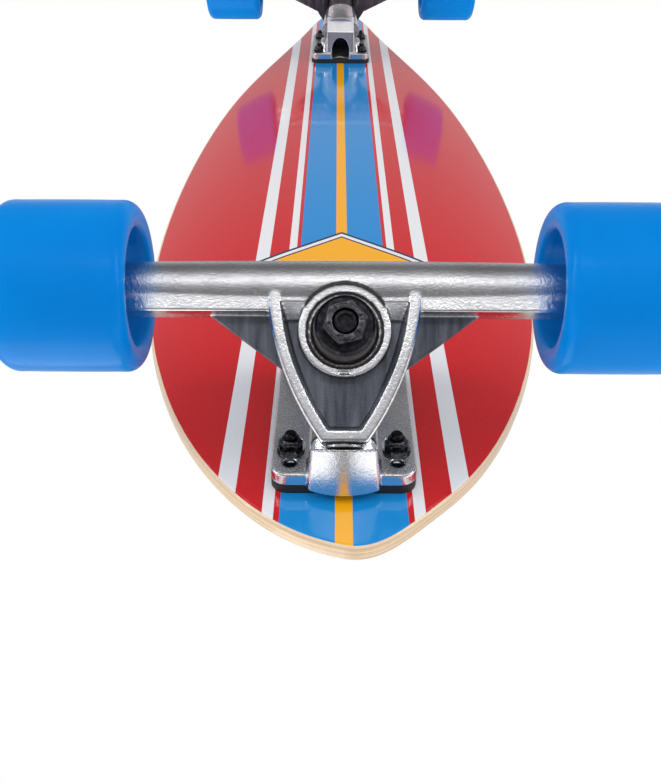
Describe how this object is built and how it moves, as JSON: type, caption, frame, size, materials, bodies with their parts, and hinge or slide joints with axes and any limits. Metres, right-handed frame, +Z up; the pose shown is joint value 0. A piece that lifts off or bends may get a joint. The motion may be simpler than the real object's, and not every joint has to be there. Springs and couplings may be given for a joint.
{
  "type": "longboard skateboard",
  "caption": "Pintail longboard skateboard with concave laminated deck, striped glossy underside, reverse-kingpin trucks that steer on bushings and free-turning urethane wheels.",
  "frame": {"origin": "on the ground under the middle of the board, centre of the bottom of the bounding box", "axes": "+Z up, wheels on the ground; the board lies along Y with its nose towards -Y; a rider facing the nose has +X on the left"},
  "size_m": [0.257, 0.9115, 0.118],
  "materials": {
    "printed_maple": "glossy printed lacquer over laminated maple",
    "grip_tape": "matt black abrasive tape",
    "riser_plastic": "matt black",
    "polished_alloy": "polished cast",
    "cup_plastic": "black urethane",
    "black_steel": "black oxide",
    "bushing_rubber": "dark urethane",
    "axle_steel": "turned steel",
    "plated_steel": "zinc plated",
    "bearing_steel": "ground bearing steel",
    "shield_rubber": "black seal",
    "wheel_urethane": "glossy blue urethane"
  },
  "bodies": {
    "board": {"deck": "printed_maple", "grip_tape": "grip_tape", "front_riser_pad": "riser_plastic", "front_baseplate": "polished_alloy", "front_pivot_cup": "cup_plastic", "front_kingpin": "black_steel", "front_kingpin_nut": "black_steel", "front_roadside_washer": "black_steel", "front_roadside_bushing": "bushing_rubber", "front_boardside_washer": "black_steel", "front_boardside_bushing": "bushing_rubber", "front_deck_bolts": "black_steel", "front_deck_nuts": "black_steel", "rear_riser_pad": "riser_plastic", "rear_baseplate": "polished_alloy", "rear_pivot_cup": "cup_plastic", "rear_kingpin": "black_steel", "rear_kingpin_nut": "black_steel", "rear_roadside_washer": "black_steel", "rear_roadside_bushing": "bushing_rubber", "rear_boardside_washer": "black_steel", "rear_boardside_bushing": "bushing_rubber", "rear_deck_bolts": "black_steel", "rear_deck_nuts": "black_steel"},
    "front_hanger_body": {"front_hanger": "polished_alloy", "front_axle": "axle_steel", "front_speed_washers": "plated_steel", "front_axle_nuts": "plated_steel", "front_left_inner_races": "bearing_steel", "front_left_bearing_spacer": "plated_steel", "front_right_inner_races": "bearing_steel", "front_right_bearing_spacer": "plated_steel"},
    "front_left_wheel_body": {"front_left_wheel": "wheel_urethane", "front_left_outer_races": "bearing_steel", "front_left_bearing_balls": "bearing_steel", "front_left_bearing_shields": "shield_rubber"},
    "front_right_wheel_body": {"front_right_wheel": "wheel_urethane", "front_right_outer_races": "bearing_steel", "front_right_bearing_balls": "bearing_steel", "front_right_bearing_shields": "shield_rubber"},
    "rear_hanger_body": {"rear_hanger": "polished_alloy", "rear_axle": "axle_steel", "rear_speed_washers": "plated_steel", "rear_axle_nuts": "plated_steel", "rear_left_inner_races": "bearing_steel", "rear_left_bearing_spacer": "plated_steel", "rear_right_inner_races": "bearing_steel", "rear_right_bearing_spacer": "plated_steel"},
    "rear_left_wheel_body": {"rear_left_wheel": "wheel_urethane", "rear_left_outer_races": "bearing_steel", "rear_left_bearing_balls": "bearing_steel", "rear_left_bearing_shields": "shield_rubber"},
    "rear_right_wheel_body": {"rear_right_wheel": "wheel_urethane", "rear_right_outer_races": "bearing_steel", "rear_right_bearing_balls": "bearing_steel", "rear_right_bearing_shields": "shield_rubber"}
  },
  "joints": [
    {"name": "front_steer", "type": "hinge", "parent": "board", "child": "front_hanger_body", "pos_m": [0, -0.38223, 0.03314], "axis": [0, 0.6428, -0.766], "range_deg": [-20, 20], "stiffness_Nm_per_rad": 50, "deforming": ["front_roadside_bushing", "front_boardside_bushing"]},
    {"name": "front_left_wheel_spin", "type": "hinge", "parent": "front_hanger_body", "child": "front_left_wheel_body", "pos_m": [0.103, -0.383, 0.0325], "axis": [1, 0, 0], "continuous": true},
    {"name": "front_right_wheel_spin", "type": "hinge", "parent": "front_hanger_body", "child": "front_right_wheel_body", "pos_m": [-0.103, -0.383, 0.0325], "axis": [1, 0, 0], "continuous": true},
    {"name": "rear_steer", "type": "hinge", "parent": "board", "child": "rear_hanger_body", "pos_m": [0, 0.24223, 0.03314], "axis": [0, -0.6428, -0.766], "range_deg": [-20, 20], "stiffness_Nm_per_rad": 50, "deforming": ["rear_roadside_bushing", "rear_boardside_bushing"]},
    {"name": "rear_left_wheel_spin", "type": "hinge", "parent": "rear_hanger_body", "child": "rear_left_wheel_body", "pos_m": [0.103, 0.243, 0.0325], "axis": [1, 0, 0], "continuous": true},
    {"name": "rear_right_wheel_spin", "type": "hinge", "parent": "rear_hanger_body", "child": "rear_right_wheel_body", "pos_m": [-0.103, 0.243, 0.0325], "axis": [1, 0, 0], "continuous": true}
  ]
}
